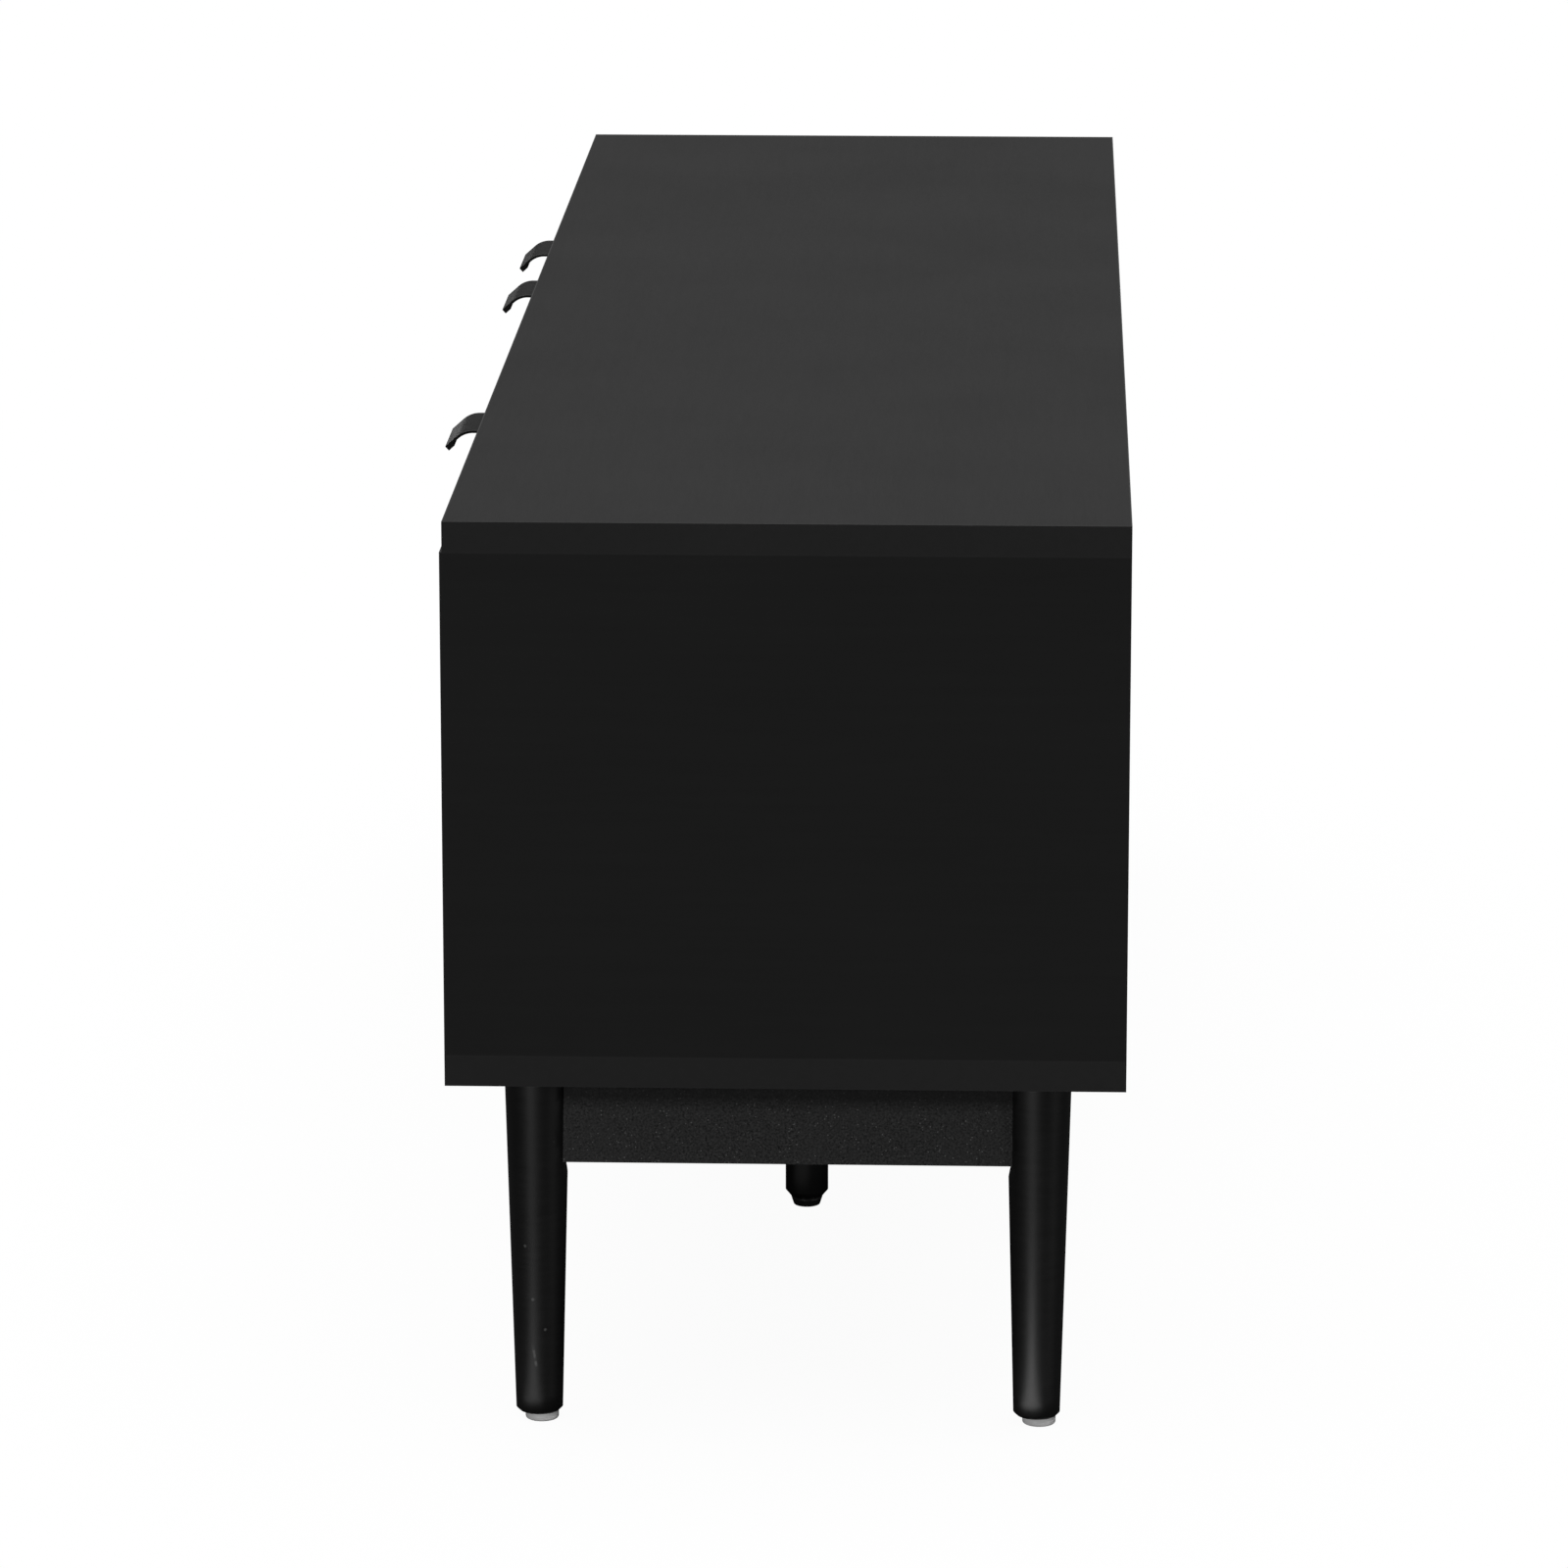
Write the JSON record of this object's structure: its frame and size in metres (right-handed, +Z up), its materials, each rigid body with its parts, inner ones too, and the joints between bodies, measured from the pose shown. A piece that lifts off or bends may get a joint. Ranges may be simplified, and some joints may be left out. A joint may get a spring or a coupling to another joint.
{
  "type": "low dresser with drawers and doors",
  "caption": "Low black cabinet on tapered legs: a stack of drawers in one bay, hinged doors with shelves in the others, opened by bent tab pulls on their top edges.",
  "frame": {"origin": "on the floor, midway along the length and midway between the pull tips and the back", "axes": "+X along the length towards the drawers' end, -Y out of the front, +Z up"},
  "size_m": [1.5, 0.427, 0.558],
  "materials": {
    "top_laminate": "black laminate, fine matt grain, on 18 mm particle board",
    "panel_laminate": "black laminate, matt, edge-banded",
    "front_laminate": "black laminate, matt, edge-banded",
    "back_board": "black printed hardboard",
    "drawer_foil": "dark grey paper foil on board",
    "leg_lacquer": "satin black lacquer on turned hardwood",
    "apron_paint": "black paint with a fine sprayed speckle",
    "support_paint": "semi-gloss black paint on steel tube",
    "pull_paint": "satin black powder coat",
    "zinc_steel": "bright zinc plate",
    "runner_cage": "zinc-plated strip with steel balls",
    "black_plastic": "moulded black plastic",
    "glide_plastic": "pale grey moulded plastic",
    "beech": "plain beech dowel"
  },
  "bodies": {
    "carcass": {"top_panel": "top_laminate", "bottom_panel": "panel_laminate", "left_end_panel": "panel_laminate", "right_end_panel": "panel_laminate", "left_partition": "panel_laminate", "right_partition": "panel_laminate", "back_panel": "back_board", "left_shelf": "panel_laminate", "middle_shelf": "panel_laminate", "shelf_pins": "zinc_steel", "cam_bolts": "zinc_steel", "cam_locks": "zinc_steel", "carcass_dowels": "beech", "back_panel_nails": "zinc_steel", "leg_hanger_bolts": "zinc_steel", "leg_inserts": "zinc_steel", "leg_glides": "glide_plastic", "apron_dowels": "beech", "front_left_leg": "leg_lacquer", "rear_left_leg": "leg_lacquer", "front_right_leg": "leg_lacquer", "rear_right_leg": "leg_lacquer", "left_end_apron": "apron_paint", "right_end_apron": "apron_paint", "left_centre_support": "support_paint", "right_centre_support": "support_paint", "hinge_bushes": "black_plastic", "magnetic_catches": "black_plastic", "drawer_runner_rails": "zinc_steel"},
    "left_door": {"left_door": "front_laminate", "left_door_pull": "pull_paint", "left_door_pull_screws": "zinc_steel", "left_door_pivot_pins": "zinc_steel", "left_door_strike_plate": "zinc_steel"},
    "middle_door": {"middle_door": "front_laminate", "middle_door_pull": "pull_paint", "middle_door_pull_screws": "zinc_steel", "middle_door_pivot_pins": "zinc_steel", "middle_door_strike_plate": "zinc_steel"},
    "lower_drawer": {"lower_drawer_front": "front_laminate", "lower_drawer_left_side": "drawer_foil", "lower_drawer_right_side": "drawer_foil", "lower_drawer_back": "drawer_foil", "lower_drawer_base": "drawer_foil", "lower_drawer_pull": "pull_paint", "lower_drawer_pull_screws": "zinc_steel", "lower_drawer_runner_slides": "zinc_steel"},
    "lower_cages": {"lower_drawer_ball_cages": "runner_cage"},
    "upper_drawer": {"upper_drawer_front": "front_laminate", "upper_drawer_left_side": "drawer_foil", "upper_drawer_right_side": "drawer_foil", "upper_drawer_back": "drawer_foil", "upper_drawer_base": "drawer_foil", "upper_drawer_pull": "pull_paint", "upper_drawer_pull_screws": "zinc_steel", "upper_drawer_runner_slides": "zinc_steel"},
    "upper_cages": {"upper_drawer_ball_cages": "runner_cage"},
    "left_foot": {"left_support_foot": "black_plastic"},
    "right_foot": {"right_support_foot": "black_plastic"}
  },
  "joints": [
    {"name": "left_door_hinge", "type": "hinge", "parent": "carcass", "child": "left_door", "pos_m": [-0.722, -0.18, 0.38825], "axis": [0, 0, -1], "range_deg": [0, 90]},
    {"name": "middle_door_hinge", "type": "hinge", "parent": "carcass", "child": "middle_door", "pos_m": [0.231, -0.18, 0.38825], "axis": [0, 0, 1], "range_deg": [0, 90]},
    {"name": "lower_drawer_slide", "type": "slide", "parent": "carcass", "child": "lower_drawer", "axis": [0, -1, 0], "range_m": [0, 0.225]},
    {"name": "upper_drawer_slide", "type": "slide", "parent": "carcass", "child": "upper_drawer", "axis": [0, -1, 0], "range_m": [0, 0.225]},
    {"name": "lower_cage_slide", "type": "slide", "parent": "carcass", "child": "lower_cages", "axis": [0, -1, 0], "range_m": [0, 0.1125]},
    {"name": "upper_cage_slide", "type": "slide", "parent": "carcass", "child": "upper_cages", "axis": [0, -1, 0], "range_m": [0, 0.1125]},
    {"name": "left_foot_turn", "type": "hinge", "parent": "carcass", "child": "left_foot", "pos_m": [-0.25, 0.0105, 0.005], "axis": [0, 0, 1], "continuous": true},
    {"name": "right_foot_turn", "type": "hinge", "parent": "carcass", "child": "right_foot", "pos_m": [0.25, 0.0105, 0.005], "axis": [0, 0, 1], "continuous": true}
  ],
  "couplings": [
    {"joint": "lower_cage_slide", "follows": "lower_drawer_slide", "ratio": 0.5},
    {"joint": "upper_cage_slide", "follows": "upper_drawer_slide", "ratio": 0.5}
  ]
}
